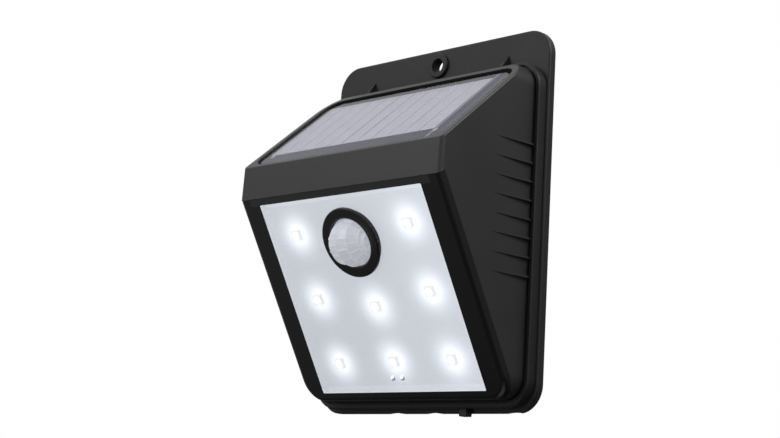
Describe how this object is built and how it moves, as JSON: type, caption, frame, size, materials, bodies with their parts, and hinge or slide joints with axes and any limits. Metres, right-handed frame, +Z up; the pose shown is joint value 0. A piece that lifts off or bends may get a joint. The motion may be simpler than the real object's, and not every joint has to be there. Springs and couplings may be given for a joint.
{
  "type": "solar wall light with motion sensor",
  "caption": "Wall-hung solar light: sloping solar panel on top, tilted white light window with a motion-sensor dome, black case on a back plate, and a slide switch underneath.",
  "frame": {"origin": "axis of the hanging hole where it meets the wall plane", "axes": "+Z up the wall, +X to the right seen from the front, -Y out of the wall towards the viewer"},
  "size_m": [0.096, 0.0491, 0.1251],
  "materials": {
    "case_black": "fine satin moulding texture",
    "frame_black": "satin, a little smoother than the case",
    "gasket": "matt",
    "screw_steel": "zinc plated",
    "clear_window": "clear and glossy",
    "white_plastic": "bright white",
    "board_white": "white solder resist",
    "led_body": "white moulded package",
    "led_light": "lit phosphor",
    "solder": "bright tinned metal",
    "component_black": "epoxy",
    "ring_black": "semi gloss",
    "dome_white": "milky translucent",
    "can_metal": "drawn metal",
    "filter_dark": "dark infrared filter",
    "panel_clear": "clear resin with a glossy top",
    "silicon": "dark blue silicon with fine silver lines",
    "panel_board": "dark laminate",
    "tape": "foam tape",
    "battery_wrap": "shrink sleeve",
    "nickel": "nickel strip",
    "board_green": "green solder resist",
    "knob_black": "satin",
    "wire_red": "silicone insulation",
    "wire_black": "silicone insulation"
  },
  "bodies": {
    "case": {"back_cover": "case_black", "front_housing": "case_black", "front_frame": "frame_black", "case_gasket": "gasket", "case_screws": "screw_steel", "window_lens": "clear_window", "reflector_tray": "white_plastic", "led_board": "board_white", "led_packages": "led_body", "led_phosphors": "led_light", "solder_marks": "solder", "light_board_parts": "component_black", "sensor_ring": "ring_black", "sensor_dome": "dome_white", "pir_can": "can_metal", "pir_filter": "filter_dark", "pir_pins": "solder", "solar_cover": "panel_clear", "solar_cells": "silicon", "solar_ribbons": "solder", "solar_contacts": "solder", "solar_backing": "panel_board", "solar_tape": "tape", "battery_cell": "battery_wrap", "battery_tabs": "nickel", "battery_strap": "case_black", "strap_screws": "screw_steel", "control_board": "board_green", "control_chip": "component_black", "chip_pins": "solder", "capacitors": "can_metal", "resistors": "component_black", "board_screws": "screw_steel", "switch_case": "can_metal", "switch_terminals": "solder", "solar_lead_red": "wire_red", "solar_lead_black": "wire_black", "battery_lead_red": "wire_red", "battery_lead_black": "wire_black", "light_lead_red": "wire_red", "light_lead_black": "wire_black", "switch_lead_red": "wire_red", "switch_lead_black": "wire_black"},
    "switch": {"switch_knob": "knob_black", "switch_slider": "component_black"}
  },
  "joints": [
    {"name": "switch_slide", "type": "slide", "parent": "case", "child": "switch", "axis": [1, 0, 0], "range_m": [0, 0.002]}
  ]
}
